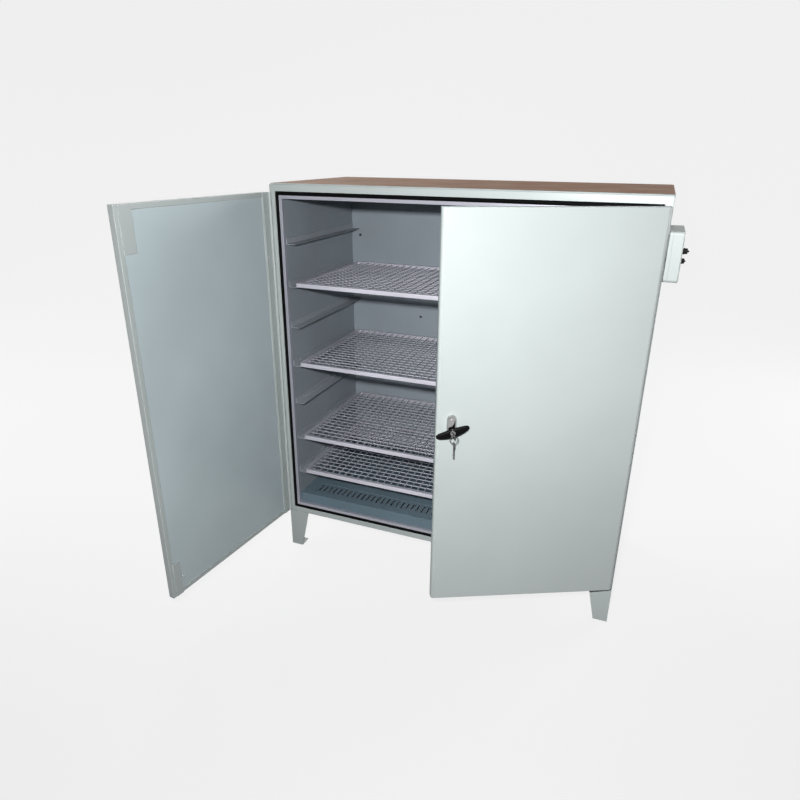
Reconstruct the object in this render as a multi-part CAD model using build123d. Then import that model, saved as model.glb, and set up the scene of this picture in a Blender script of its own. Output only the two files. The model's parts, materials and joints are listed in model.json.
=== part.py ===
"""Ceramic drying cabinet: an insulated two-door cabinet on legs, with slide-in mesh trays.

Sizes are in millimetres. The cabinet is drawn closed, with x = 0 at the carcass's left side,
y = 0 at the front frame's face, z = 0 at the carcass's underside. The doors are then swung to
the pose that the cabinet is kept in, and everything is moved so that the origin lies on the
floor under the middle of the whole. The front looks along -Y.
"""
from build123d import *
import os

# Carcass and its insulated walls
CARCASS_WIDTH = 1200.0
CARCASS_DEPTH = 555.0
CARCASS_HEIGHT = 1200.0
PANEL_THICKNESS = 42.5
LINER_THICKNESS = 1.5
TOP_SHEET_THICKNESS = 3.0

# Face strips round the door opening, from the outside in
FACE_DEPTH = 12.0
OUTER_STRIP = 21.5
SEAL_WIDTH = 11.5
SEAL_PROUD = 3.0

# Legs and feet
LEG_HEIGHT = 160.0
LEG_TOP_WIDTH = 78.0
LEG_FOOT_WIDTH = 45.0
LEG_SHEET = 3.0
FOOT_HEIGHT = 8.0
FOOT_RADIUS = 14.0

# Runners on both side walls
RUNNER_LEVELS = 7
RUNNER_FIRST_SEAT = 170.0
RUNNER_PITCH = 140.5
RUNNER_SHEET = 2.0
RUNNER_SHELF = 33.0
RUNNER_UPSTAND = 20.0
RUNNER_FRONT_GAP = 2.0

# Trays, counted from the top; each number is a runner counted from the bottom
TRAY_RUNNERS = (5, 3, 1, 0)
TRAY_HEIGHT = 14.0
TRAY_SHEET = 2.0
TRAY_FLANGE = 12.0
TRAY_CORNER_RADIUS = 12.0
TRAY_SIDE_GAP = 22.0
TRAY_FRONT_GAP = 1.0
TRAY_BACK_GAP = 5.0
WIRE_THICKNESS = 5.0
MESH_PITCH = 26.0

# Heater cover over the chamber floor, with a slotted grille let into it
COVER_TOP = 80.0
COVER_SHEET = 2.0
COVER_FRONT_GAP = 1.0
GRILLE_SIDE_MARGIN = 44.0
GRILLE_FRONT_MARGIN = 34.0
GRILLE_DEPTH = 58.0
GRILLE_SHEET = 1.5
GRILLE_LAP = 6.0
SLOT_WIDTH = 8.0
SLOT_LENGTH = 44.0
SLOT_PITCH = 20.0

# Doors
DOOR_THICKNESS = 25.0
DOOR_FRONT_RADIUS = 9.0
DOOR_BACK_RADIUS = 2.0
DOOR_SIDE_INSET = 12.5
DOOR_CENTRE_GAP = 8.0
DOOR_TOP_INSET = 24.0
DOOR_BOTTOM_INSET = 4.0
DOOR_FACE_GAP = 10.0
DOOR_RETURN = 15.0
DOOR_RECESS = 3.0
DOOR_PANEL_THICKNESS = 1.5
LEFT_DOOR_ANGLE = 96.0
RIGHT_DOOR_ANGLE = 26.0

# Continuous hinges
HINGE_X = 5.0
HINGE_Y = 6.5
KNUCKLE_RADIUS = 4.8
PIN_RADIUS = 2.5
PIN_CLEARANCE = 0.1
KNUCKLES = 5
KNUCKLE_GAP = 1.0
LEAF_SHEET = 2.0
LEAF_NOTCH_GAP = 0.7
DOOR_LEAF_REACH = 31.0
FRAME_LEAF_REACH = 16.0

# Bolt plates on the inside of the left door's free edge
BOLT_PLATE_SHEET = 2.0
BOLT_PLATE_EDGE_GAP = 12.0
TOP_PLATE_WIDTH = 40.0
TOP_PLATE_HEIGHT = 122.0
BOTTOM_PLATE_WIDTH = 28.0
BOTTOM_PLATE_HEIGHT = 118.0
NUB_SIZE = 7.0
NUB_RISE = 53.0
NUB_PROUD = 6.0

# Handle on the outside of the right door
HANDLE_FROM_EDGE = 44.0
HANDLE_HEIGHT = 584.0
ROSE_WIDTH = 27.0
ROSE_HEIGHT = 68.0
ROSE_DEPTH = 14.0
ROSE_DROP = 26.0
ROSE_BEVEL = 4.0
LEVER_LENGTH = 96.0
LEVER_END_WIDTH = 10.0
LEVER_UPPER_BULGE = 4.0
LEVER_LOWER_BULGE = 11.0
LEVER_ROUND_SHARE = 0.4
LEVER_DEPTH = 12.0
LEVER_GAP = 3.0
LEVER_TILT = 18.0
BARREL_RADIUS = 7.0
BARREL_PROUD = 4.0
SPINDLE_RADIUS = 5.0
SPINDLE_DEPTH = 9.0
KEY_BOW_RADIUS = 9.0
KEY_SHEET = 2.0
KEY_STEM = 8.0
KEY_STEM_WIDTH = 5.0
RING_RADIUS = 11.0
RING_WIRE = 2.0
SPARE_KEY_LENGTH = 36.0

# Control box on the right side wall
BOX_DEPTH = 40.0
BOX_LENGTH = 170.0
BOX_HEIGHT = 135.0
BOX_FRONT = 32.0
BOX_TOP_INSET = 90.0
BOX_EDGE_RADIUS = 4.0
KNOB_SPINDLE_RADIUS = 3.0
KNOB_SPINDLE_DEPTH = 6.0
KNOB_GAP = 0.5
KNOB_FIRST_Y = 30.0
THERMOSTAT_RADIUS = 8.5
THERMOSTAT_DEPTH = 16.0
THERMOSTAT_RISE = 82.0
SWITCH_RADIUS = 8.0
SWITCH_DEPTH = 12.0
SWITCH_RISE = 52.0
KNOB_STEP_Y = 26.0
KNOB_SKIRT_SHARE = 0.3
KNOB_DRUM_SHARE = 0.88
KNOB_GRIP_SHARE = 0.25

# Worked out from the sizes above
WALL = PANEL_THICKNESS + LINER_THICKNESS
CHAMBER_BACK = CARCASS_DEPTH - WALL
DOOR_TOP = CARCASS_HEIGHT - DOOR_TOP_INSET
DOOR_FREE_EDGE = (CARCASS_WIDTH - DOOR_CENTRE_GAP) / 2
BOX_BOTTOM = CARCASS_HEIGHT - BOX_TOP_INSET - BOX_HEIGHT
TRAY_LEFT = WALL + TRAY_SIDE_GAP
TRAY_RIGHT = CARCASS_WIDTH - TRAY_LEFT
TRAY_FRONT = FACE_DEPTH + TRAY_FRONT_GAP
TRAY_BACK = CHAMBER_BACK - TRAY_BACK_GAP


def block(x0, x1, y0, y1, z0, z1):
    """A box between two opposite corners."""
    middle = ((x0 + x1) / 2, (y0 + y1) / 2, (z0 + z1) / 2)
    return Pos(*middle) * Box(x1 - x0, y1 - y0, z1 - z0)


def mirrored(piece):
    """The same piece on the other half of the cabinet."""
    return piece.mirror(Plane.YZ.offset(CARCASS_WIDTH / 2))


def face_ring(outer_inset, inner_inset, front, back):
    """A rectangular ring round the door opening."""
    ring = []
    for inset in (outer_inset, inner_inset):
        right, top = CARCASS_WIDTH - inset, CARCASS_HEIGHT - inset
        ring.append(block(inset, right, front, back, inset, top))
    return ring[0] - ring[1]


def make_carcass():
    """Five insulated walls behind the face strips, and the sheet that covers the top."""
    inner, right = PANEL_THICKNESS, CARCASS_WIDTH - PANEL_THICKNESS
    top, back = CARCASS_HEIGHT - PANEL_THICKNESS, CARCASS_DEPTH - PANEL_THICKNESS
    side = block(0, inner, FACE_DEPTH, CARCASS_DEPTH, 0, CARCASS_HEIGHT)
    return {
        "left_wall": side,
        "right_wall": mirrored(side),
        "floor_wall": block(inner, right, FACE_DEPTH, CARCASS_DEPTH, 0, inner),
        "roof_wall": block(inner, right, FACE_DEPTH, CARCASS_DEPTH, top, CARCASS_HEIGHT),
        "back_wall": block(inner, right, back, CARCASS_DEPTH, inner, top),
        "top_sheet": make_top_sheet(),
    }


def make_top_sheet():
    """Flat cover on the roof, its edges broken by a small round."""
    top = CARCASS_HEIGHT + TOP_SHEET_THICKNESS
    sheet = block(0, CARCASS_WIDTH, 0, CARCASS_DEPTH, CARCASS_HEIGHT, top)
    return fillet(sheet.edges().group_by(Axis.Z)[-1], TOP_SHEET_THICKNESS / 2)


def make_face_strips():
    """Painted strip, black seal and inner lip, one inside the other."""
    seal_inset = OUTER_STRIP + SEAL_WIDTH
    return {
        "front_frame": face_ring(0, OUTER_STRIP, 0, FACE_DEPTH),
        "door_seal": face_ring(OUTER_STRIP, seal_inset, -SEAL_PROUD, FACE_DEPTH),
        "chamber_lip": face_ring(seal_inset, WALL, 0, FACE_DEPTH),
    }


def make_liner():
    """Thin sheet box, open at the front, that lines the chamber."""
    inner, top = PANEL_THICKNESS, CARCASS_HEIGHT - PANEL_THICKNESS
    back = CARCASS_DEPTH - PANEL_THICKNESS
    outside = block(inner, CARCASS_WIDTH - inner, FACE_DEPTH, back, inner, top)
    room_top, room_right = CARCASS_HEIGHT - WALL, CARCASS_WIDTH - WALL
    room = block(WALL, room_right, FACE_DEPTH, CHAMBER_BACK, WALL, room_top)
    return outside - room


def make_runners():
    """Left-hand angle runners: a shelf to slide on and an upstand against the wall."""
    front = FACE_DEPTH + RUNNER_FRONT_GAP
    runners = []
    for level in range(RUNNER_LEVELS):
        seat = RUNNER_FIRST_SEAT + level * RUNNER_PITCH
        low = seat - RUNNER_SHEET
        shelf = block(WALL, WALL + RUNNER_SHELF, front, CHAMBER_BACK, low, seat)
        stand = block(WALL, WALL + RUNNER_SHEET, front, CHAMBER_BACK, low, low + RUNNER_UPSTAND)
        runners.append(shelf + stand)
    return runners


def make_tray_frame(seat):
    """Folded rim: an upright wall with rounded corners and a flange turned in at the top."""
    width, depth = TRAY_RIGHT - TRAY_LEFT, TRAY_BACK - TRAY_FRONT
    centre = Pos((TRAY_LEFT + TRAY_RIGHT) / 2, (TRAY_FRONT + TRAY_BACK) / 2, seat)
    inner_radius = TRAY_CORNER_RADIUS - TRAY_SHEET
    outline = RectangleRounded(width, depth, TRAY_CORNER_RADIUS)
    wall_inside = RectangleRounded(width - 2 * TRAY_SHEET, depth - 2 * TRAY_SHEET, inner_radius)
    window = Rectangle(width - 2 * TRAY_FLANGE, depth - 2 * TRAY_FLANGE)
    wall = extrude(outline - wall_inside, TRAY_HEIGHT)
    flange = Pos(0, 0, TRAY_HEIGHT - TRAY_SHEET) * extrude(outline - window, TRAY_SHEET)
    return centre * (wall + flange)


def wire(start, direction, length):
    """A straight wire, drawn with four flats."""
    across = (0, 1, 0) if direction[0] else (1, 0, 0)
    plane = Plane(origin=start, x_dir=across, z_dir=direction)
    return extrude(plane * Rectangle(WIRE_THICKNESS, WIRE_THICKNESS), length)


def spaced(low, high, pitch):
    """Places at an even pitch, centred between two limits, clear of both."""
    count = int((high - low - pitch / 2) // pitch)
    first = (low + high - (count - 1) * pitch) / 2
    return [first + i * pitch for i in range(count)]


def make_tray_wires(seat):
    """Two layers of wires under the rim's flange, the front-to-back layer on top."""
    left, right = TRAY_LEFT + TRAY_SHEET, TRAY_RIGHT - TRAY_SHEET
    front, back = TRAY_FRONT + TRAY_SHEET, TRAY_BACK - TRAY_SHEET
    upper = seat + TRAY_HEIGHT - TRAY_SHEET - WIRE_THICKNESS / 2
    lower = upper - WIRE_THICKNESS
    long_wires = [wire((x, front, upper), (0, 1, 0), back - front)
                  for x in spaced(left, right, MESH_PITCH)]
    cross_wires = [wire((left, y, lower), (1, 0, 0), right - left)
                   for y in spaced(front, back, MESH_PITCH)]
    return long_wires, cross_wires


def make_heater_cover():
    """Raised chamber floor with an apron at the front and a long window for the grille."""
    front, right = FACE_DEPTH + COVER_FRONT_GAP, CARCASS_WIDTH - WALL
    plate = block(WALL, right, front, CHAMBER_BACK, COVER_TOP - COVER_SHEET, COVER_TOP)
    apron = block(WALL, right, front, front + COVER_SHEET, WALL, COVER_TOP)
    left, near = WALL + GRILLE_SIDE_MARGIN, front + GRILLE_FRONT_MARGIN
    far, low = near + GRILLE_DEPTH, COVER_TOP - 2 * COVER_SHEET
    window = block(left, CARCASS_WIDTH - left, near, far, low, COVER_TOP + COVER_SHEET)
    return plate + apron - window


def make_vent_grille():
    """Strip with a row of slots, fixed under the edges of the cover's window."""
    left = WALL + GRILLE_SIDE_MARGIN - GRILLE_LAP
    near = FACE_DEPTH + COVER_FRONT_GAP + GRILLE_FRONT_MARGIN - GRILLE_LAP
    far = near + GRILLE_DEPTH + 2 * GRILLE_LAP
    top = COVER_TOP - COVER_SHEET
    strip = block(left, CARCASS_WIDTH - left, near, far, top - GRILLE_SHEET, top)
    window_left = left + GRILLE_LAP
    places = spaced(window_left, CARCASS_WIDTH - window_left, SLOT_PITCH)
    slot = Box(SLOT_WIDTH, SLOT_LENGTH, 2 * GRILLE_SHEET)
    slots = [Pos(x, (near + far) / 2, top - GRILLE_SHEET / 2) * slot for x in places]
    return strip - Compound(slots)


def make_front_left_leg():
    """Two tapered plates folded along the corner, with a flange above and a sole below."""
    foot = FOOT_HEIGHT - LEG_HEIGHT
    taper = Polygon((0, 0), (LEG_TOP_WIDTH, 0), (LEG_FOOT_WIDTH, foot), (0, foot), align=None)
    front = extrude(Plane.XZ * taper, LEG_SHEET, dir=(0, 1, 0))
    side = extrude(Plane.YZ * taper, LEG_SHEET, dir=(1, 0, 0))
    flange = block(0, LEG_TOP_WIDTH, 0, LEG_TOP_WIDTH, -LEG_SHEET, 0)
    sole = block(0, LEG_FOOT_WIDTH, 0, LEG_FOOT_WIDTH, foot, foot + LEG_SHEET)
    return front + side + flange + sole


def make_legs():
    """One leg at each corner, and a round foot pad under each."""
    leg = make_front_left_leg()
    centre = LEG_FOOT_WIDTH / 2
    pad = Cylinder(FOOT_RADIUS, FOOT_HEIGHT, align=(Align.CENTER, Align.CENTER, Align.MIN))
    pad = Pos(centre, centre, -LEG_HEIGHT) * pad
    middle = Plane.XZ.offset(-CARCASS_DEPTH / 2)
    legs, pads = {}, []
    for end in ("front", "back"):
        for hand in ("left", "right"):
            pieces = [leg, pad]
            if end == "back":
                pieces = [piece.mirror(middle) for piece in pieces]
            if hand == "right":
                pieces = [mirrored(piece) for piece in pieces]
            legs[f"{end}_{hand}_leg"] = pieces[0]
            pads.append(pieces[1])
    legs["foot_pads"] = pads
    return legs


def make_door_shell():
    """Folded door pan, half round at the hinge edge, with a recess inside its return."""
    back, front = -DOOR_FACE_GAP, -DOOR_FACE_GAP - DOOR_THICKNESS
    left, right = DOOR_SIDE_INSET, DOOR_FREE_EDGE
    pan = block(left, right, front, back, DOOR_BOTTOM_INSET, DOOR_TOP)
    free_edges = pan.edges().filter_by(Axis.Z).group_by(Axis.X)[-1].sort_by(Axis.Y)
    pan = fillet(free_edges[0], DOOR_FRONT_RADIUS)
    free_edges = pan.edges().filter_by(Axis.Z).group_by(Axis.X)[-1].sort_by(Axis.Y)
    pan = fillet(free_edges[-1], DOOR_BACK_RADIUS)
    hinge_edges = pan.edges().filter_by(Axis.Z).group_by(Axis.X)[0]
    pan = fillet(hinge_edges, DOOR_THICKNESS / 2 - PIN_CLEARANCE)
    return pan - door_inside(back - DOOR_RECESS, back)


def door_inside(front, back):
    """The block inside the door's return, between two depths."""
    left = DOOR_SIDE_INSET + DOOR_THICKNESS / 2 + DOOR_RETURN
    low, high = DOOR_BOTTOM_INSET + DOOR_RETURN, DOOR_TOP - DOOR_RETURN
    return block(left, DOOR_FREE_EDGE - DOOR_RETURN, front, back, low, high)


def make_door_panel():
    """Flat inner sheet that lies in the recess."""
    front = -DOOR_FACE_GAP - DOOR_RECESS
    return door_inside(front, front + DOOR_PANEL_THICKNESS)


def knuckle_spans():
    """Lower and upper end of each hinge knuckle."""
    step = (DOOR_TOP - DOOR_BOTTOM_INSET) / KNUCKLES
    lows = [DOOR_BOTTOM_INSET + i * step for i in range(KNUCKLES)]
    return [(low + KNUCKLE_GAP / 2, low + step - KNUCKLE_GAP / 2) for low in lows]


def upright_rod(radius, low, high):
    """A round rod on the hinge axis."""
    rod = Cylinder(radius, high - low, align=(Align.CENTER, Align.CENTER, Align.MIN))
    return Pos(HINGE_X, -HINGE_Y, low) * rod


def make_frame_leaf():
    """Leaf on the front frame, with every other knuckle and the pin that runs through all."""
    notch = HINGE_X + KNUCKLE_RADIUS + LEAF_NOTCH_GAP
    reach = HINGE_X + FRAME_LEAF_REACH
    leaf = block(notch, reach, -LEAF_SHEET, 0, DOOR_BOTTOM_INSET, DOOR_TOP)
    leaf += upright_rod(PIN_RADIUS, DOOR_BOTTOM_INSET, DOOR_TOP)
    for low, high in knuckle_spans()[0::2]:
        leaf += upright_rod(KNUCKLE_RADIUS, low, high)
        leaf += block(HINGE_X, notch, -LEAF_SHEET, 0, low, high)
    return leaf


def make_door_leaf():
    """Leaf on the door's inner face, with the knuckles between those of the frame."""
    notch = HINGE_X + KNUCKLE_RADIUS + LEAF_NOTCH_GAP
    reach, seat = HINGE_X + DOOR_LEAF_REACH, -DOOR_FACE_GAP
    leaf = block(notch, reach, seat, seat + LEAF_SHEET, DOOR_BOTTOM_INSET, DOOR_TOP)
    for low, high in knuckle_spans()[1::2]:
        leaf += upright_rod(KNUCKLE_RADIUS, low, high)
        leaf += block(HINGE_X, notch, seat, seat + LEAF_SHEET, low, high)
    return leaf - upright_rod(PIN_RADIUS + PIN_CLEARANCE, DOOR_BOTTOM_INSET, DOOR_TOP)


def make_bolt_plates():
    """Plates over the top and bottom bolts, the lower one with its pull nub."""
    seat, right = -DOOR_FACE_GAP, DOOR_FREE_EDGE - BOLT_PLATE_EDGE_GAP
    face, low = seat + BOLT_PLATE_SHEET, DOOR_BOTTOM_INSET
    upper = block(right - TOP_PLATE_WIDTH, right, seat, face, DOOR_TOP - TOP_PLATE_HEIGHT, DOOR_TOP)
    left = right - BOTTOM_PLATE_WIDTH
    lower = block(left, right, seat, face, low, low + BOTTOM_PLATE_HEIGHT)
    rise = low + NUB_RISE
    lower += block(left - NUB_SIZE, left, seat, seat + NUB_PROUD, rise, rise + NUB_SIZE)
    return [upper, lower]


def on_door_face(piece):
    """Stands a piece that was drawn along +Z on the outer face, at the handle."""
    face = -DOOR_FACE_GAP - DOOR_THICKNESS
    place = Plane(origin=(DOOR_FREE_EDGE - HANDLE_FROM_EDGE, face, HANDLE_HEIGHT),
                  x_dir=(1, 0, 0), z_dir=(0, -1, 0))
    return place.location * piece


def make_rose():
    """Upright chrome rose with a round top, and a bore for the spindle."""
    body = extrude(SlotOverall(ROSE_HEIGHT, ROSE_WIDTH, rotation=90), ROSE_DEPTH)
    body = chamfer(body.edges().group_by(Axis.Z)[-1], ROSE_BEVEL)
    body = Pos(0, ROSE_HEIGHT / 2 - ROSE_DROP, 0) * body
    bore = Cylinder(SPINDLE_RADIUS + PIN_CLEARANCE, 2 * (SPINDLE_DEPTH + PIN_CLEARANCE))
    return on_door_face(body - Pos(0, 0, ROSE_DEPTH) * bore)


def make_lever():
    """Black wing lever, nearly straight above and bulging below, with a hole for the barrel."""
    half, end = LEVER_LENGTH / 2, LEVER_END_WIDTH / 2
    upper = ThreePointArc((-half, end), (0, end + LEVER_UPPER_BULGE), (half, end))
    right = Line((half, end), (half, -end))
    lower = ThreePointArc((half, -end), (0, -end - LEVER_LOWER_BULGE), (-half, -end))
    left = Line((-half, -end), (-half, end))
    outline = make_face([upper, right, lower, left])
    outline = fillet(outline.vertices(), LEVER_ROUND_SHARE * LEVER_END_WIDTH)
    lever = extrude(outline, LEVER_DEPTH) - Cylinder(BARREL_RADIUS, 3 * LEVER_DEPTH)
    return on_door_face(Pos(0, 0, ROSE_DEPTH + LEVER_GAP) * Rot(0, 0, -LEVER_TILT) * lever)


def make_lock_barrel():
    """Chrome barrel in the lever's hole, on the spindle that turns in the rose."""
    length = LEVER_DEPTH + BARREL_PROUD
    base = (Align.CENTER, Align.CENTER, Align.MIN)
    barrel = Pos(0, 0, ROSE_DEPTH + LEVER_GAP) * Cylinder(BARREL_RADIUS, length, align=base)
    spindle_length = LEVER_GAP + SPINDLE_DEPTH
    spindle = Cylinder(SPINDLE_RADIUS, spindle_length, align=base)
    return on_door_face(barrel + Pos(0, 0, ROSE_DEPTH - SPINDLE_DEPTH) * spindle)


def make_keys():
    """A key in the barrel, and a ring through its bow with a spare key hanging down."""
    face = ROSE_DEPTH + LEVER_GAP + LEVER_DEPTH + BARREL_PROUD
    bow_centre = face + KEY_STEM + KEY_BOW_RADIUS
    half = KEY_SHEET / 2
    stem = block(-half, half, -KEY_STEM_WIDTH / 2, KEY_STEM_WIDTH / 2, face, bow_centre)
    upright = Rot(0, 90, 0)
    bow = Pos(0, 0, bow_centre) * upright * Cylinder(KEY_BOW_RADIUS, KEY_SHEET)
    ring_sketch = Circle(RING_RADIUS + RING_WIRE / 2) - Circle(RING_RADIUS - RING_WIRE / 2)
    ring_centre = Pos(0, -RING_RADIUS, bow_centre - RING_WIRE / 2)
    ring = ring_centre * extrude(ring_sketch, RING_WIRE)
    low = -2 * RING_RADIUS
    spare_centre = Pos(0, low - KEY_BOW_RADIUS / 2, bow_centre)
    spare_bow = spare_centre * upright * Cylinder(KEY_BOW_RADIUS, KEY_SHEET)
    end = low - KEY_BOW_RADIUS - SPARE_KEY_LENGTH
    width = KEY_STEM_WIDTH / 2
    blade = block(-half, half, end, low, bow_centre - width, bow_centre + width)
    return on_door_face(stem + bow + ring + spare_bow + blade)


def knob_places():
    """Name, radius, depth and place (Y, Z) of the two knobs on the control box."""
    front = BOX_FRONT + KNOB_FIRST_Y
    return [
        ("thermostat_knob", THERMOSTAT_RADIUS, THERMOSTAT_DEPTH, front, BOX_BOTTOM + THERMOSTAT_RISE),
        ("switch_knob", SWITCH_RADIUS, SWITCH_DEPTH, front + KNOB_STEP_Y, BOX_BOTTOM + SWITCH_RISE),
    ]


def make_control_box():
    """Closed sheet box on the right wall, bored for the spindles of its knobs."""
    right = CARCASS_WIDTH + BOX_DEPTH
    top = BOX_BOTTOM + BOX_HEIGHT
    box = block(CARCASS_WIDTH, right, BOX_FRONT, BOX_FRONT + BOX_LENGTH, BOX_BOTTOM, top)
    box = fillet(box.faces().sort_by(Axis.X)[-1].edges(), BOX_EDGE_RADIUS)
    bore_depth = KNOB_SPINDLE_DEPTH + PIN_CLEARANCE
    for _, _, _, y, z in knob_places():
        bore = Cylinder(KNOB_SPINDLE_RADIUS + PIN_CLEARANCE, 2 * bore_depth)
        box -= Pos(right, y, z) * Rot(0, 90, 0) * bore
    return box


def make_knobs():
    """Round knobs on spindles: a thin skirt, a drum on it and a flat grip across the drum's face."""
    base = (Align.CENTER, Align.CENTER, Align.MIN)
    knobs = {}
    for name, radius, depth, y, z in knob_places():
        drum_radius, drum_depth = KNOB_DRUM_SHARE * radius, (1 - KNOB_GRIP_SHARE) * depth
        skirt = Cylinder(radius, KNOB_SKIRT_SHARE * depth, align=base)
        skirt += Cylinder(drum_radius, drum_depth, align=base)
        grip = Box(drum_radius / 2, 2 * KNOB_DRUM_SHARE * drum_radius, depth, align=base)
        spindle_length = KNOB_SPINDLE_DEPTH + KNOB_GAP
        spindle = Cylinder(KNOB_SPINDLE_RADIUS, spindle_length, align=base)
        knob = skirt + grip + Pos(0, 0, -spindle_length) * spindle
        place = Pos(CARCASS_WIDTH + BOX_DEPTH + KNOB_GAP, y, z) * Rot(0, 90, 0)
        knobs[name] = place * knob
    return knobs


def solids_of(piece):
    """All the solids of a piece, whatever it is made of."""
    if isinstance(piece, (list, tuple)):
        return [solid for part in piece for solid in solids_of(part)]
    return list(piece.solids())


def make_trays():
    """Each tray's rim and its two layers of wires."""
    trays = {}
    for number, runner in enumerate(TRAY_RUNNERS, start=1):
        seat = RUNNER_FIRST_SEAT + runner * RUNNER_PITCH
        long_wires, cross_wires = make_tray_wires(seat)
        trays[f"tray_{number}_frame"] = make_tray_frame(seat)
        trays[f"tray_{number}_long_wires"] = long_wires
        trays[f"tray_{number}_cross_wires"] = cross_wires
    return trays


def make_fixed():
    """Everything that stays with the carcass."""
    runners = make_runners()
    leaf = make_frame_leaf()
    fixed = make_carcass()
    fixed.update(make_face_strips())
    fixed["chamber_liner"] = make_liner()
    fixed["heater_cover"] = make_heater_cover()
    fixed["vent_grille"] = make_vent_grille()
    fixed["left_runners"] = runners
    fixed["right_runners"] = [mirrored(runner) for runner in runners]
    fixed["frame_hinge_leaves"] = [leaf, mirrored(leaf)]
    fixed["control_box"] = make_control_box()
    fixed.update(make_legs())
    fixed.update(make_trays())
    return fixed


def make_doors():
    """Both doors with what is fixed to them, drawn closed and swung open about their hinges."""
    shell, panel, leaf = make_door_shell(), make_door_panel(), make_door_leaf()
    left = {
        "left_door_shell": shell,
        "left_door_panel": panel,
        "left_hinge_leaf": leaf,
        "left_bolt_plates": make_bolt_plates(),
    }
    right = {
        "right_door_shell": shell,
        "right_door_panel": panel,
        "right_hinge_leaf": leaf,
        "handle_rose": make_rose(),
        "handle_lever": make_lever(),
        "lock_barrel": make_lock_barrel(),
        "keys": make_keys(),
    }
    hinge = Axis((HINGE_X, -HINGE_Y, 0), (0, 0, 1))
    swung = {}
    for pieces, angle in ((left, LEFT_DOOR_ANGLE), (right, RIGHT_DOOR_ANGLE)):
        for name, piece in pieces.items():
            swung[name] = [solid.rotate(hinge, -angle) for solid in solids_of(piece)]
    for name in right:
        swung[name] = [mirrored(solid) for solid in swung[name]]
    return swung


def write_parts(nodes):
    """Moves the origin to the floor under the middle of the whole, and writes each node."""
    box = Compound([solid for solids in nodes.values() for solid in solids]).bounding_box()
    shift = Pos(-box.center().X, -box.center().Y, -box.min.Z)
    os.makedirs("parts", exist_ok=True)
    for name, solids in nodes.items():
        moved = [shift * solid for solid in solids]
        whole = moved[0] if len(moved) == 1 else Compound(moved)
        export_step(whole, f"parts/{name}.step")
    print("moved by", [round(value, 4) for value in shift.position])
    print("extent", [round(value, 2) for value in box.size])


def main():
    nodes = make_fixed()
    nodes.update(make_doors())
    nodes.update(make_knobs())
    write_parts({name: solids_of(piece) for name, piece in nodes.items()})


if __name__ == "__main__":
    main()
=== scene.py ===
"""Looks of the ceramic drying cabinet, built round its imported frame, in metres."""

import json
import math

import bmesh
import bpy
import numpy as np
from mathutils import Matrix, Vector


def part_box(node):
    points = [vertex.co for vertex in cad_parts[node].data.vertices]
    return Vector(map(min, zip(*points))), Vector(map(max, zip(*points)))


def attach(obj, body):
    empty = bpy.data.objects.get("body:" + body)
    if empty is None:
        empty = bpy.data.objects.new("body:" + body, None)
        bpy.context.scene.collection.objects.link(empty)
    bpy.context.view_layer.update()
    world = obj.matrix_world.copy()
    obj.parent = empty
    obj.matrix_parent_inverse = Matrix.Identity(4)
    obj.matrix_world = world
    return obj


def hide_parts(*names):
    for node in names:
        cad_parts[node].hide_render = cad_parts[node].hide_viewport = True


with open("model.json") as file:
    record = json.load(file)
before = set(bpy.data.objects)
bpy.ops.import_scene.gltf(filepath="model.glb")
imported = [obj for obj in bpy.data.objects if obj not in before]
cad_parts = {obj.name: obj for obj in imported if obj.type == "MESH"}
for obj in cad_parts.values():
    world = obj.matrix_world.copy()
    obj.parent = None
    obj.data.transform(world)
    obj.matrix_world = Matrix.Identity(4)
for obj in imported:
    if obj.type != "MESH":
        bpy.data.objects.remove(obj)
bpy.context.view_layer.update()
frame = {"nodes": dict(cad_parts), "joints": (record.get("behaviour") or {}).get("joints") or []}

# The view
# The camera stands in front of the right door, a little above the cabinet, turned to the left
# and down, with the field of view that the photograph's lens gives in an 800 by 800 frame.
VIEW_PLACE = (0.57842, -1.77925, 1.46456)
VIEW_TURN_LEFT = 21.54
VIEW_TURN_DOWN = 21.85
VIEW_ROLL = 0.41
VIEW_LENS = 28.126
VIEW_SENSOR = 36.0
VIEW_NEAREST = 0.05
VIEW_FARTHEST = 60.0


def view_axes(turn, down, roll):
    """Right, up and forward of a camera turned left and down by angles, then rolled."""
    turn, down, roll = (math.radians(angle) for angle in (turn, down, roll))
    level = Vector((math.cos(turn), math.sin(turn), 0.0))
    ahead = Vector((-math.sin(turn), math.cos(turn), 0.0))
    forward = ahead * math.cos(down) - Vector((0.0, 0.0, math.sin(down)))
    right = level * math.cos(roll) + level.cross(forward) * math.sin(roll)
    return right, right.cross(forward), forward


lens = bpy.data.cameras.new("view")
lens.sensor_width = VIEW_SENSOR
lens.lens = VIEW_LENS
lens.clip_start = VIEW_NEAREST
lens.clip_end = VIEW_FARTHEST
camera = bpy.data.objects.new("view", lens)
bpy.context.scene.collection.objects.link(camera)
right, upright, forward = view_axes(VIEW_TURN_LEFT, VIEW_TURN_DOWN, VIEW_ROLL)
turned_view = Matrix((right, upright, -forward)).transposed().to_4x4()
camera.matrix_world = Matrix.Translation(VIEW_PLACE) @ turned_view
bpy.context.scene.camera = camera

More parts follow.
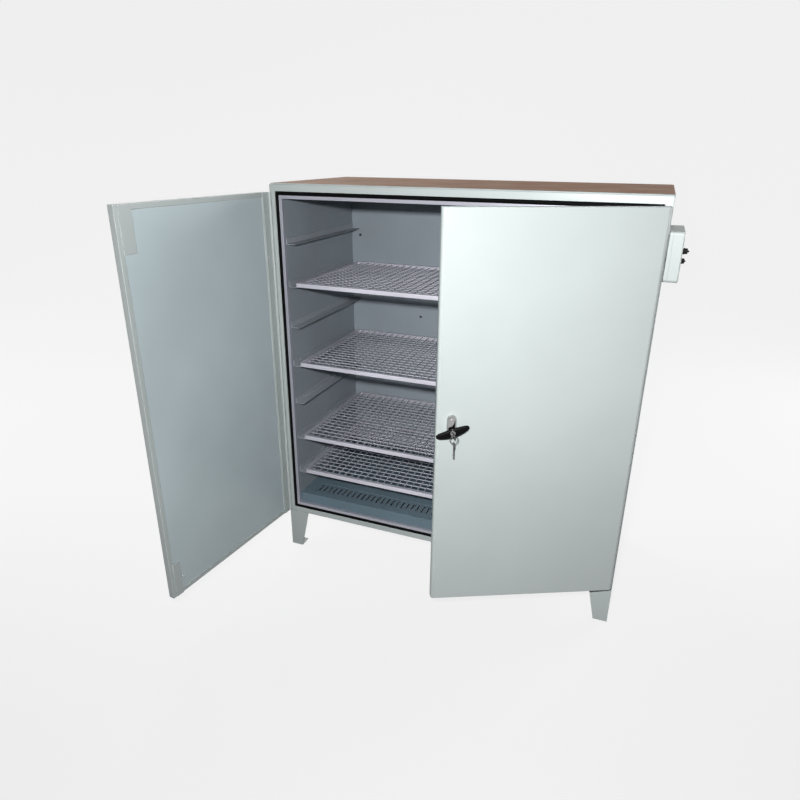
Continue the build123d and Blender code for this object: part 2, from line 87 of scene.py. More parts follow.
# The studio
# A pale round floor curves up into a wall all round and glows, a little less near the camera.
# Its glow is kept off the cabinet, so that the chamber's shadows stay deep. A small light stands
# above the camera, and three wide ones light the top, the back and the sides.
FLOOR_COLOUR = (0.06, 0.06, 0.06, 1.0)
FLOOR_RADIUS = 3.4
FLOOR_MIDDLE = 0.01
SWEEP_RADIUS = 2.2
WALL_HEIGHT = 6.0
SWEEP_COLUMNS = 96
SWEEP_ROWS = 90
GLOW_COLOUR = (1.0, 1.0, 1.0, 1.0)
GLOW_DIRECTION = (-0.367, 0.930, 0.0)
GLOW_RANGE = {"From Min": -1.1, "From Max": 0.7, "To Min": 0.80, "To Max": 0.87}
SURROUND_COLOUR = (0.90, 0.95, 1.0, 1.0)
SURROUND_STRENGTH = 0.06
PICTURE_GAMMA = 0.85
LIGHTS = (  # Name, place, point it looks at, width and power.
    ("above_camera", (0.50, -1.80, 1.59), (0.70, 0.0, 0.45), 0.07, 56),
    ("behind_left", (-2.60, 2.40, 4.20), (-0.10, 0.40, 0.70), 2.0, 90),
    ("behind_right", (2.60, 2.60, 1.60), (0.30, 0.40, 0.70), 1.6, 70),
    ("left_side", (-4.00, 0.00, 2.00), (-0.60, 0.00, 0.70), 1.6, 60),
)


def studio_sweep():
    """Floor, bend and wall as one sheet: around by column, and outwards by arc length.

    Up to the bend a point moves straight out along the floor. In the bend it turns through a
    quarter circle of the sweep's radius, and beyond the bend it rises straight up.
    """
    bend = SWEEP_RADIUS * math.pi / 2
    along = np.linspace(FLOOR_MIDDLE, FLOOR_RADIUS + bend + WALL_HEIGHT, SWEEP_ROWS)[:, None]
    angle = np.clip((along - FLOOR_RADIUS) / SWEEP_RADIUS, 0, math.pi / 2)
    reach = np.minimum(along, FLOOR_RADIUS) + SWEEP_RADIUS * np.sin(angle)
    z = SWEEP_RADIUS * (1 - np.cos(angle)) + np.maximum(along - FLOOR_RADIUS - bend, 0)
    around = np.arange(SWEEP_COLUMNS)[None] * (2 * math.pi / SWEEP_COLUMNS)
    return np.stack([reach * np.cos(around), reach * np.sin(around), z + 0 * around], axis=-1)


def surface(name, points, hoop=False):
    """A mesh of four-sided faces between neighbouring points of one or more grids.

    points has the shape (copies, rows, columns, 3) or (rows, columns, 3). Its columns close on
    themselves. A hoop's rows do so too, and otherwise a face closes the first row and the last.
    """
    grids = points if points.ndim == 4 else points[None]
    copies, rows, columns = grids.shape[:3]
    index = np.arange(rows * columns).reshape(rows, columns)
    index = np.concatenate([index, index[:1]], 0) if hoop else index
    index = np.concatenate([index, index[:, :1]], 1)
    corners = (index[:-1, :-1], index[:-1, 1:], index[1:, 1:], index[1:, :-1])
    faces = np.stack(corners, -1).reshape(-1, 4)
    offsets = np.arange(copies) * rows * columns
    sides = (faces[None] + offsets[:, None, None]).reshape(-1, 4).tolist()
    if not hoop:
        first, last = np.arange(columns)[::-1], np.arange(columns) + (rows - 1) * columns
        sides += [(end + offset).tolist() for offset in offsets for end in (first, last)]
    mesh = bpy.data.meshes.new(name)
    mesh.from_pydata(grids.reshape(-1, 3).tolist(), [], sides)
    piece = bpy.data.objects.new(name, mesh)
    bpy.context.scene.collection.objects.link(piece)
    return piece


def feed(tree, node, inputs):
    """Sets each input of a node to its value, or feeds it where the value is a socket."""
    for label, value in inputs.items():
        if isinstance(value, bpy.types.NodeSocket):
            tree.links.new(value, node.inputs[label])
        else:
            node.inputs[label].default_value = value
    return node


def add_node(tree, kind, inputs, **settings):
    """A new shader node of a kind with its settings, and its inputs set or fed."""
    node = tree.nodes.new("ShaderNode" + kind)
    for setting, value in settings.items():
        setattr(node, setting, value)
    return feed(tree, node, inputs)


floor = surface("studio_floor", studio_sweep())
floor.data.shade_smooth()
floor_paint = bpy.data.materials.new("studio_floor")
floor_paint.use_nodes = True
floor_tree = floor_paint.node_tree
floor_place = add_node(floor_tree, "TexCoord", {})
floor_along = add_node(floor_tree, "VectorMath", {
    0: floor_place.outputs["Object"], 1: GLOW_DIRECTION}, operation="DOT_PRODUCT")
glow = add_node(floor_tree, "MapRange", {"Value": floor_along.outputs["Value"], **GLOW_RANGE},
                interpolation_type="SMOOTHSTEP")
feed(floor_tree, floor_tree.nodes["Principled BSDF"], {
    "Base Color": FLOOR_COLOUR, "Roughness": 1.0, "Specular IOR Level": 0.0,
    "Emission Color": GLOW_COLOUR, "Emission Strength": glow.outputs["Result"]})
floor.data.materials.append(floor_paint)
floor.visible_diffuse = False

surround = bpy.data.worlds.new("surround")
surround.use_nodes = True
feed(surround.node_tree, surround.node_tree.nodes["Background"],
     {"Color": SURROUND_COLOUR, "Strength": SURROUND_STRENGTH})
bpy.context.scene.world = surround
bpy.context.scene.view_settings.view_transform = "Standard"
bpy.context.scene.view_settings.gamma = PICTURE_GAMMA


def studio_light(name, place, target, width, power):
    """A square light, kept out of the camera's sight, that looks at a point."""
    light = bpy.data.lights.new(name, "AREA")
    light.shape = "RECTANGLE"
    light.size, light.size_y, light.energy = width, width, power
    lamp = bpy.data.objects.new(name, light)
    lamp.visible_camera = False
    bpy.context.scene.collection.objects.link(lamp)
    aim = (Vector(target) - Vector(place)).to_track_quat("-Z", "Y").to_matrix().to_4x4()
    lamp.matrix_world = Matrix.Translation(place) @ aim


for light in LIGHTS:
    studio_light(*light)

# The casing
# Two sides, roof, floor and back of bent sheet steel over insulation, baked with a pale grey
# green enamel. The folded back edges of the sides stand a little proud of the back panel, which
# is screwed between them.
BODY_COLOUR = (0.455, 0.495, 0.488, 1.0)
ZINC_COLOUR = (0.62, 0.62, 0.60, 1.0)
NOISE_LOW = 0.3
NOISE_HIGH = 0.7
TONE_SCALE = 3.0
TONE_DETAIL = 3.0
SMUDGE_SCALE = 9.0
SMUDGE_DETAIL = 5.0
GRAIN_DETAIL = 2.0
GRAIN_DISTANCE = 0.0004
CASING_EDGE = 0.0015
EDGE_SEGMENTS = 2
SMOOTH_BELOW = 38.0
MERGE_DISTANCE = 1e-5
FLAT_ANGLE = 0.4
HAIR = 0.0001
ARC_POINTS = 5
CORNER_STEPS = 6
HEAD_SIDES = 32
HEAD_SHARES = (0.04, 0.22, 0.3, 0.5, 0.62, 0.8, 0.95, 1.0)
HEAD_FALL = 0.5
RECESS_DEPTH = 0.45
RECESS_REACH = 0.55
RECESS_HALF_WIDTH = 0.14
BACK_PANEL_INSET = 0.002
BACK_PANEL_GAP = 0.0012
BACK_PANEL_CORNER = 0.003
BACK_PANEL_EDGE = 0.001
BACK_SCREW = (0.0042, 0.0014)
BACK_SCREW_MARGIN = 0.016
BACK_SCREWS_ACROSS = 7
BACK_SCREWS_UP = 6


def node_group(name, inputs, outputs):
    """An empty shader group with named sockets, and its input and output nodes."""
    tree = bpy.data.node_groups.new(name, "ShaderNodeTree")
    for way, sockets in (("INPUT", inputs), ("OUTPUT", outputs)):
        for label, kind in sockets.items():
            tree.interface.new_socket(label, in_out=way, socket_type="NodeSocket" + kind)
    return tree, tree.nodes.new("NodeGroupInput"), tree.nodes.new("NodeGroupOutput")


def add_noise(tree, scale, detail):
    """A noise over the piece's own coordinates, in metres."""
    place = add_node(tree, "TexCoord", {})
    noise = add_node(tree, "TexNoise", {
        "Vector": place.outputs["Object"], "Scale": scale, "Detail": detail})
    return noise.outputs["Fac"]


def add_spread(tree, source, amount, centre):
    """A value that swings by an amount about a centre as a noise goes from low to high."""
    low, high = (add_node(tree, "Math", {0: centre, 1: amount}, operation=way)
                 for way in ("SUBTRACT", "ADD"))
    spread = add_node(tree, "MapRange", {
        "Value": source, "From Min": NOISE_LOW, "From Max": NOISE_HIGH,
        "To Min": low.outputs[0], "To Max": high.outputs[0]})
    return spread.outputs["Result"]


def make_worn_skin():
    """A used surface: broad uneven tone, a fine grain in its height, and smudged gloss."""
    tree, given, result = node_group(
        "worn_skin", {"Colour": "Color", "Unevenness": "Float", "Roughness": "Float",
                      "Smudges": "Float", "Grain Size": "Float", "Grain Height": "Float"},
        {"Colour": "Color", "Roughness": "Float", "Normal": "Vector"})
    given = given.outputs
    broad = add_noise(tree, TONE_SCALE, TONE_DETAIL)
    tone = add_spread(tree, broad, given["Unevenness"], 1.0)
    shade = add_node(tree, "VectorMath", {0: given["Colour"], "Scale": tone}, operation="SCALE")
    hands = add_noise(tree, SMUDGE_SCALE, SMUDGE_DETAIL)
    gloss = add_spread(tree, hands, given["Smudges"], given["Roughness"])
    grain = add_noise(tree, given["Grain Size"], GRAIN_DETAIL)
    bump = add_node(tree, "Bump", {
        "Height": grain, "Strength": given["Grain Height"], "Distance": GRAIN_DISTANCE})
    feed(tree, result, {"Colour": shade.outputs["Vector"], "Roughness": gloss,
                        "Normal": bump.outputs["Normal"]})
    return tree


worn_skin = make_worn_skin()


def finish_material(name, colour, roughness, metallic=0.0, unevenness=0.03, smudges=0.05,
                    grain_size=600.0, grain_height=0.05, coat=0.0, shine=0.5):
    """A material whose colour, gloss and relief come from the worn skin."""
    material = bpy.data.materials.new(name)
    material.use_nodes = True
    tree = material.node_tree
    skin = add_node(tree, "Group", {
        "Colour": colour, "Unevenness": unevenness, "Roughness": roughness, "Smudges": smudges,
        "Grain Size": grain_size, "Grain Height": grain_height}, node_tree=worn_skin)
    skin.name = "skin"
    feed(tree, tree.nodes["Principled BSDF"], {
        "Base Color": skin.outputs["Colour"], "Roughness": skin.outputs["Roughness"],
        "Normal": skin.outputs["Normal"], "Metallic": metallic, "Coat Weight": coat,
        "Specular IOR Level": shine})
    return material


body_paint = finish_material("body_paint", BODY_COLOUR, roughness=0.42, coat=0.03)
screw_zinc = finish_material("screw_zinc", ZINC_COLOUR, roughness=0.32, metallic=1.0)


def softened(name, node, width):
    """A copy of a CAD node with its triangles merged into whole faces and its edges rounded."""
    source = frame["nodes"][node].data
    mesh = bpy.data.meshes.new(name)
    mesh.from_pydata([vertex.co for vertex in source.vertices], [],
                     [list(face.vertices) for face in source.polygons])
    work = bmesh.new()
    work.from_mesh(mesh)
    bmesh.ops.remove_doubles(work, verts=work.verts, dist=MERGE_DISTANCE)
    bmesh.ops.dissolve_limit(work, angle_limit=math.radians(FLAT_ANGLE), verts=work.verts,
                             edges=work.edges)
    work.to_mesh(mesh)
    work.free()
    piece = bpy.data.objects.new(name, mesh)
    bpy.context.scene.collection.objects.link(piece)
    edge = piece.modifiers.new("rounded_edges", "BEVEL")
    edge.width, edge.segments = width, EDGE_SEGMENTS
    edge.limit_method, edge.angle_limit = "ANGLE", math.radians(SMOOTH_BELOW)
    edge.harden_normals = True
    return piece


def dress(piece, material, *nodes, body="cabinet"):
    """Turns the faces outwards, shades the piece by angle, and hands it to its CAD body."""
    work = bmesh.new()
    work.from_mesh(piece.data)
    bmesh.ops.recalc_face_normals(work, faces=work.faces)
    work.to_mesh(piece.data)
    work.free()
    piece.data.shade_smooth()
    piece.data.set_sharp_from_angle(angle=math.radians(SMOOTH_BELOW))
    even = piece.modifiers.new("even_shading", "WEIGHTED_NORMAL")
    even.keep_sharp = True
    piece.data.materials.append(material)
    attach(piece, body)
    if nodes:
        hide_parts(*nodes)


def fit(name, points, material, *nodes, body="cabinet", hoop=False):
    """Makes the surface of a piece from its grids, and dresses it."""
    dress(surface(name, points, hoop), material, *nodes, body=body)


def screw_heads(places, axis, size):
    """Domed heads with a cross recess, of a size (radius, rise), as one grid for each place.

    The height over the seat is the rise, less half of it times the square of the share of the
    radius, and less a recess where a point lies near either of two crossing lines.
    """
    radius, rise = size
    share = np.array(HEAD_SHARES)[:, None]
    angle = np.arange(HEAD_SIDES) * (2 * math.pi / HEAD_SIDES)
    across, along = share * np.cos(angle), share * np.sin(angle)
    height = rise * (1 - HEAD_FALL * share ** 2) + 0 * across
    near_a_line = np.minimum(abs(across), abs(along)) < RECESS_HALF_WIDTH
    height -= RECESS_DEPTH * rise * (near_a_line & (share < RECESS_REACH))
    seat = np.stack([across[-1:], along[-1:], 0 * across[-1:] - HAIR / radius], -1) * radius
    dome = np.stack([across * radius, along * radius, height], -1)
    head = np.concatenate([dome, seat])
    turn = np.array(Vector(axis).to_track_quat("Z", "Y").to_matrix())
    return np.array(places, float)[:, None, None, :] + (head @ turn.T)[None]


def carried_round(profile, low, high, radius, steps=CORNER_STEPS):
    """A profile carried round a rectangle with rounded corners, as rows of points.

    Each profile point is (inset, height) and makes one row. The row runs round the rectangle
    between the low and high corners, drawn in by the inset. Its corners are quarter circles
    whose radius is the given one less the inset, and at least a hair.
    """
    inset, height = np.array(profile, float).T[:, :, None]
    corner = np.maximum(radius - inset, HAIR)
    turn = np.linspace(0, math.pi / 2, steps + 1)
    quarters = []
    for quarter, (on_right, on_top) in enumerate(((1, 1), (0, 1), (0, 0), (1, 0))):
        angle = turn + quarter * math.pi / 2
        across = high[0] - inset - corner if on_right else low[0] + inset + corner
        up = high[1] - inset - corner if on_top else low[1] + inset + corner
        arc = (across + corner * np.cos(angle), up + corner * np.sin(angle), height + 0 * angle)
        quarters.append(np.stack(arc, -1))
    return np.concatenate(quarters, axis=1)


def facing(rows, axis):
    """Turns rows drawn as (across, up, height) so that their height runs along an axis."""
    return rows[..., {0: (2, 0, 1), 1: (0, 2, 1), 2: (0, 1, 2)}[axis]]


def slab(low, high, radius, edge, axis, flip=1):
    """A flat plate with rounded corners and a rounded outer edge, between two corners.

    Its rows are a rounded rectangle carried from the plate's hidden face up the side, over a
    quarter circle and onto the outer face, which lies along the axis at the high corner, or at
    the low one where flip is -1.
    """
    plane = [index for index in range(3) if index != axis]
    face, seat = (high[axis], low[axis]) if flip > 0 else (low[axis], high[axis])
    profile = [(0.0, seat)] + [(edge * (1 - math.cos(t)), face - flip * edge * (1 - math.sin(t)))
                               for t in np.linspace(0, math.pi / 2, ARC_POINTS)]
    low, high = [low[index] for index in plane], [high[index] for index in plane]
    return facing(carried_round(profile, low, high, radius), axis)


for side in ("left_wall", "right_wall", "floor_wall", "roof_wall"):
    wall = softened("casing_" + side, side, CASING_EDGE)
    dress(wall, body_paint, side)

back_low, back_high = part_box("back_wall")
back_face = back_high.y - BACK_PANEL_INSET
fit("casing_back_panel", slab(
    (back_low.x + BACK_PANEL_GAP, back_low.y, back_low.z + BACK_PANEL_GAP),
    (back_high.x - BACK_PANEL_GAP, back_face, back_high.z - BACK_PANEL_GAP),
    BACK_PANEL_CORNER, BACK_PANEL_EDGE, 1), body_paint, "back_wall")
left, right = back_low.x + BACK_SCREW_MARGIN, back_high.x - BACK_SCREW_MARGIN
low, high = back_low.z + BACK_SCREW_MARGIN, back_high.z - BACK_SCREW_MARGIN
places = [(x, back_face, z) for x in np.linspace(left, right, BACK_SCREWS_ACROSS)
          for z in (low, high)]
places += [(x, back_face, z) for z in np.linspace(low, high, BACK_SCREWS_UP)[1:-1]
           for x in (left, right)]
fit("casing_back_screws", screw_heads(places, (0, 1, 0), BACK_SCREW), screw_zinc)

# The top sheet
# One flat steel cover over the roof with rounded edges, enamelled like the casing. Its face is
# painted taupe brown, a painted reflection of the surroundings in its gloss, and a narrow border
# along its front edge has the colour of the casing.
# The taupe brown is a painted reflection of the surroundings in the top's glossy paint.
TOP_REFLECTION_COLOUR = (0.30, 0.175, 0.110, 1.0)
TOP_BORDER = 0.012
TOP_BORDER_BLUR = 0.004
TOP_CORNER = 0.014
TOP_EDGE = 0.0016
MIX_SHARE, MIX_FIRST, MIX_SECOND, MIX_RESULT = 0, 6, 7, 2


def make_front_mask(front):
    """One within a width behind a front edge, then falling to nothing over a blur."""
    tree, given, result = node_group(
        "front_mask", {"Width": "Float", "Blur": "Float"}, {"Mask": "Float"})
    width, blur = given.outputs["Width"], given.outputs["Blur"]
    place = add_node(tree, "TexCoord", {})
    parts = add_node(tree, "SeparateXYZ", {0: place.outputs["Object"]})
    behind = add_node(tree, "Math", {0: parts.outputs["Y"], 1: front}, operation="SUBTRACT")
    end = add_node(tree, "Math", {0: width, 1: blur}, operation="ADD")
    mask = add_node(tree, "MapRange", {
        "Value": behind.outputs[0], "From Min": width, "From Max": end.outputs[0],
        "To Min": 1.0, "To Max": 0.0})
    feed(tree, result, {"Mask": mask.outputs["Result"]})
    return tree


top_low, top_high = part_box("top_sheet")
top_paint = finish_material("top_paint", TOP_REFLECTION_COLOUR, roughness=0.6, unevenness=0.08,
                            smudges=0.08, shine=0.2)
top_tree = top_paint.node_tree
border = add_node(top_tree, "Group", {"Width": TOP_BORDER, "Blur": TOP_BORDER_BLUR},
                  node_tree=make_front_mask(top_low.y))
# Behind the border the top takes the brown painted reflection; the border keeps the casing's
# colour.
reflection_behind_border = add_node(top_tree, "Mix", {
    MIX_SHARE: border.outputs["Mask"], MIX_FIRST: TOP_REFLECTION_COLOUR, MIX_SECOND: BODY_COLOUR},
    data_type="RGBA")
feed(top_tree, top_tree.nodes["skin"], {"Colour": reflection_behind_border.outputs[MIX_RESULT]})
fit("top_sheet_cover", slab(top_low, top_high, TOP_CORNER, TOP_EDGE, 2), top_paint, "top_sheet")

# The face round the opening
# The casing's folded front edge, a black rubber seal pushed into the channel inside it, and the
# bright lip of the liner. Each is one length of profile with mitred corners.
SEAL_COLOUR = (0.005, 0.005, 0.0055, 1.0)
LIP_COLOUR = (0.42, 0.42, 0.47, 1.0)
FRONT_OUTER_EDGE = 0.0025
FRONT_INNER_EDGE = 0.001
SEAL_SIDE_GAP = 0.0005
SEAL_BULB_GAP = 0.0015
SEAL_BULB = 0.004
SEAL_SHOULDER = 0.001
LIP_EDGE = 0.0008
ARC_STEPS = 4


def rounded_outline(corners):
    """A closed outline through corners (across, up, radius), with an arc at each.

    An arc begins on the side before its corner, as far from the corner as its radius times the
    tangent of half the turn. Its points lie a radius from its centre, and turn evenly.
    """
    points = np.array([corner[:2] for corner in corners], float)
    radii = np.array([corner[2] for corner in corners], float)
    before = points - np.roll(points, 1, axis=0)
    before /= np.linalg.norm(before, axis=1, keepdims=True)
    after = np.roll(before, -1, axis=0)
    cross = before[:, 0] * after[:, 1] - before[:, 1] * after[:, 0]
    turn = np.arccos(np.clip((before * after).sum(1), -1, 1))
    inward = np.stack([-before[:, 1], before[:, 0]], -1) * np.sign(cross)[:, None]
    start = points - before * (radii * np.tan(turn / 2))[:, None]
    angle = turn[:, None, None] * np.linspace(0, 1, ARC_STEPS + 1)[None, :, None]
    offset = inward[:, None] * (1 - np.cos(angle)) + before[:, None] * np.sin(angle)
    return (start[:, None] + offset * radii[:, None, None]).reshape(-1, 2)


def face_strip(name, node, corners, material):
    """A closed profile of (inset, depth, radius) corners carried round the door opening."""
    low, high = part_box(node)
    rows = carried_round(rounded_outline(corners), (low.x, low.z), (high.x, high.z), HAIR, steps=1)
    fit(name, facing(rows, 1), material, node, hoop=True)


seal_rubber = finish_material("seal_rubber", SEAL_COLOUR, roughness=0.6, unevenness=0.2,
                              grain_height=0.1, shine=0.05)
lip_metal = finish_material("lip_metal", LIP_COLOUR, roughness=0.34, metallic=0.35)
frame_low, frame_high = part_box("front_frame")
seal_low, lip_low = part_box("door_seal")[0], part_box("chamber_lip")[0]
front, back = frame_low.y, frame_high.y
strip_width = seal_low.x - frame_low.x
seal_width = lip_low.x - seal_low.x
lip_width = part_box("heater_cover")[0].x - lip_low.x
seal_end, seal_bulb_end = seal_width - SEAL_SIDE_GAP, seal_width - SEAL_BULB_GAP
seal_shoulder = front + SEAL_SHOULDER

face_strip("front_frame_strip", "front_frame", [
    (0, front, FRONT_OUTER_EDGE), (strip_width, front, FRONT_INNER_EDGE),
    (strip_width, back, HAIR), (0, back, HAIR)], body_paint)
face_strip("door_seal_rubber", "door_seal", [
    (SEAL_SIDE_GAP, seal_shoulder, HAIR), (SEAL_BULB_GAP, seal_low.y, SEAL_BULB),
    (seal_bulb_end, seal_low.y, SEAL_BULB), (seal_end, seal_shoulder, HAIR),
    (seal_end, back, HAIR), (SEAL_SIDE_GAP, back, HAIR)], seal_rubber)
face_strip("chamber_lip_strip", "chamber_lip", [
    (0, front, LIP_EDGE), (lip_width, front, LIP_EDGE), (lip_width, back, HAIR),
    (0, back, HAIR)], lip_metal)

# The chamber
# A box of thin sheet steel inside the insulation, painted grey and folded with small radii,
# open at the front. Two small dark screws hold it at the back.
LINER_COLOUR = (0.300, 0.335, 0.365, 1.0)
LINER_SHEET = 0.0015
LINER_CORNER = 0.0055
DARK_SCREW_COLOUR = (0.10, 0.10, 0.11, 1.0)
CHAMBER_SCREW = (0.005, 0.0018)
CHAMBER_SCREWS = ((0.035, 0.167), (0.296, 0.474))

liner_paint = finish_material("liner_paint", LINER_COLOUR, roughness=0.5, unevenness=0.08,
                              smudges=0.08, shine=0.3)
screw_dark = finish_material("screw_dark", DARK_SCREW_COLOUR, roughness=0.45, metallic=0.8)
liner_low, liner_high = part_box("chamber_liner")
room_back = liner_high.y - LINER_SHEET
liner_profile = [(0, liner_high.y), (0, liner_low.y), (LINER_SHEET, liner_low.y),
                 (LINER_SHEET, room_back)]
fit("chamber_liner_box", facing(carried_round(
    liner_profile, (liner_low.x, liner_low.z), (liner_high.x, liner_high.z), LINER_CORNER), 1),
    liner_paint, "chamber_liner")
room_left, room_top = liner_low.x + LINER_SHEET, liner_high.z - LINER_SHEET
places = [(room_left + across, room_back, room_top - down) for across, down in CHAMBER_SCREWS]
fit("chamber_screws", screw_heads(places, (0, -1, 0), CHAMBER_SCREW), screw_dark)

# The heater cover
# A painted sheet over the heating elements, folded down at its front, with a long window. A
# grille with punched slots lies under the window and lets the warm air up. Sheet and grille share
# one blue grey, darkened with painted shade for the shadow of the trays above.
# Blue grey paint, made darker by painted shade from the trays above.
COVER_SHADED_COLOUR = (0.160, 0.218, 0.255, 1.0)
COVER_EDGE = 0.0012
GRILLE_SLOTS = 51
GRILLE_PITCH = 0.020
GRILLE_EDGE = 0.0004
SLOT_LENGTH = 0.044
SLOT_RADIUS = 0.004

cover_shaded_paint = finish_material("cover_shaded_paint", COVER_SHADED_COLOUR, roughness=0.5, unevenness=0.1,
                              smudges=0.08, shine=0.3)
cover = softened("heater_cover_sheet", "heater_cover", COVER_EDGE)
dress(cover, cover_shaded_paint, "heater_cover")


def grille_cells(low, high):
    """One closed ring of sheet for each slot: a square-cornered cell round a round-ended hole.

    The rows run from the hole's lower edge up its rounded side to the upper face, out to the
    cell's border, down it, and back along the lower face.
    """
    middle_x, middle_y = (low.x + high.x) / 2, (low.y + high.y) / 2
    half, reach = SLOT_RADIUS, SLOT_LENGTH / 2
    hole = carried_round([(GRILLE_EDGE, low.z), (GRILLE_EDGE, high.z - GRILLE_EDGE), (0, high.z)],
                         (-half, middle_y - reach), (half, middle_y + reach), half)
    rim = carried_round([(0, high.z), (0, low.z)], (-GRILLE_PITCH / 2, low.y),
                        (GRILLE_PITCH / 2, high.y), HAIR)
    shift = (np.arange(GRILLE_SLOTS) - (GRILLE_SLOTS - 1) / 2) * GRILLE_PITCH + middle_x
    cells = np.tile(np.concatenate([hole, rim]), (GRILLE_SLOTS, 1, 1, 1))
    cells[..., 0] += shift[:, None, None]
    return cells


low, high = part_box("vent_grille")
# The grille takes the cover's paint with its painted shade.
fit("vent_grille_slots", grille_cells(low, high), cover_shaded_paint, "vent_grille", hoop=True)
slotted, middle = GRILLE_SLOTS * GRILLE_PITCH / 2, (low.x + high.x) / 2
for hand, first, last in (("left", low.x, middle - slotted), ("right", middle + slotted, high.x)):
    fit("vent_grille_margin_" + hand, slab(
        (first, low.y, low.z), (last, high.y, high.z), HAIR, HAIR, 2), cover_shaded_paint)

# The runners
# Seven angle runners on each side wall, bent from sheet and painted with the chamber's grey, a
# little lighter as painted light on their upward shelves. Each has a shelf for the trays and a
# short upstand screwed to the wall.
# A shade lighter than the liner: painted light standing for the lamp on the upward shelves.
RUNNER_LIT_COLOUR = (0.33, 0.355, 0.385, 1.0)
RUNNER_LEVELS = 7
RUNNER_SHEET = 0.002
RUNNER_UPSTAND = 0.020
RUNNER_BEND = 0.0032
RUNNER_EDGE = 0.0006
RUNNER_SCREW = (0.0035, 0.0012)
RUNNER_SCREWS = 3
RUNNER_SCREW_MARGIN = 0.045
RUNNER_SCREW_UP = 0.012

runner_lit_paint = finish_material("runner_lit_paint", RUNNER_LIT_COLOUR, roughness=0.45, unevenness=0.08,
                               shine=0.4)


def straight_bars(outline, shifts, start, end):
    """One outline of (x, z) carried straight from front to back, once for each shift in z."""
    ring = np.stack([outline[:, 0], 0 * outline[:, 0], outline[:, 1]], -1)
    bars = np.tile(ring[None, None], (len(shifts), 2, 1, 1))
    bars[:, 0, :, 1], bars[:, 1, :, 1] = start, end
    bars[..., 2] += np.array(shifts)[:, None, None]
    return bars


for hand, outward in (("left", 1), ("right", -1)):
    low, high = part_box(hand + "_runners")
    wall, shelf = low.x if outward > 0 else high.x, high.x - low.x
    levels = np.linspace(low.z, high.z - RUNNER_UPSTAND, RUNNER_LEVELS)
    outline = rounded_outline([
        (0, 0, RUNNER_BEND), (shelf, 0, RUNNER_EDGE), (shelf, RUNNER_SHEET, RUNNER_EDGE),
        (RUNNER_SHEET, RUNNER_SHEET, RUNNER_BEND - RUNNER_SHEET),
        (RUNNER_SHEET, RUNNER_UPSTAND, RUNNER_EDGE), (0, RUNNER_UPSTAND, RUNNER_EDGE)])
    outline = outline * (outward, 1) + (wall, 0)
    fit(hand + "_angle_runners", straight_bars(outline, levels, low.y, high.y), runner_lit_paint,
        hand + "_runners")
    along = np.linspace(low.y + RUNNER_SCREW_MARGIN, high.y - RUNNER_SCREW_MARGIN, RUNNER_SCREWS)
    places = [(wall + outward * RUNNER_SHEET, y, z + RUNNER_SCREW_UP)
              for z in levels for y in along]
    heads = screw_heads(places, (outward, 0, 0), RUNNER_SCREW)
    # The screws take the runners' paint, with its painted light.
    fit(hand + "_runner_screws", heads, runner_lit_paint)

# The trays
# Four mesh trays, dull zinc plated. A rim is folded from strip with a flange turned in at the
# top. Under it two crossing layers of round wire are welded, the front-to-back layer on top.
TRAY_COLOUR = (0.62, 0.61, 0.67, 1.0)
TRAY_SHEET = 0.002
TRAY_FLANGE = 0.012
TRAY_CORNER = 0.012
TRAY_FOLD = 0.0022
TRAY_INNER_FOLD = 0.0004
TRAY_EDGE = 0.0005
WIRE_RADIUS = 0.0016
WIRE_SIDES = 8
WIRE_STATIONS = 7
WIRE_WAVER = 0.0006
WIRE_PHASES = (2, 4)
LONG_WIRES = 40
CROSS_WIRES = 18

tray_zinc = finish_material("tray_zinc", TRAY_COLOUR, roughness=0.42, metallic=0.45,
                            unevenness=0.1, smudges=0.1, grain_size=250.0, grain_height=0.08)
wire_chance = np.random.default_rng(7)


def round_wires(starts, ends):
    """Round wires between pairs of points, each wavering a little sideways.

    A wire's middle line runs straight from start to end. It is moved sideways by a sine of the
    share of its length, with a height and a phase drawn for each wire, and by nothing at its ends.
    """
    starts, ends = np.array(starts, float), np.array(ends, float)
    share = np.linspace(0, 1, WIRE_STATIONS)[None, :, None]
    line = starts[:, None] + (ends - starts)[:, None] * share
    forward = (ends - starts) / np.linalg.norm(ends - starts, axis=1, keepdims=True)
    sideways = np.cross(forward, (0, 0, 1))[:, None]
    height = wire_chance.uniform(-WIRE_WAVER, WIRE_WAVER, (len(starts), 1, 1))
    phase = wire_chance.uniform(*WIRE_PHASES, (len(starts), 1, 1))
    waver = height * np.sin(phase * math.pi * share) * np.sin(math.pi * share)
    line = line + sideways * waver
    angle = (np.arange(WIRE_SIDES) * (2 * math.pi / WIRE_SIDES))[None, :, None]
    ring = sideways * np.cos(angle) + np.array((0, 0, 1.0)) * np.sin(angle)
    return line[:, :, None] + WIRE_RADIUS * ring[:, None]


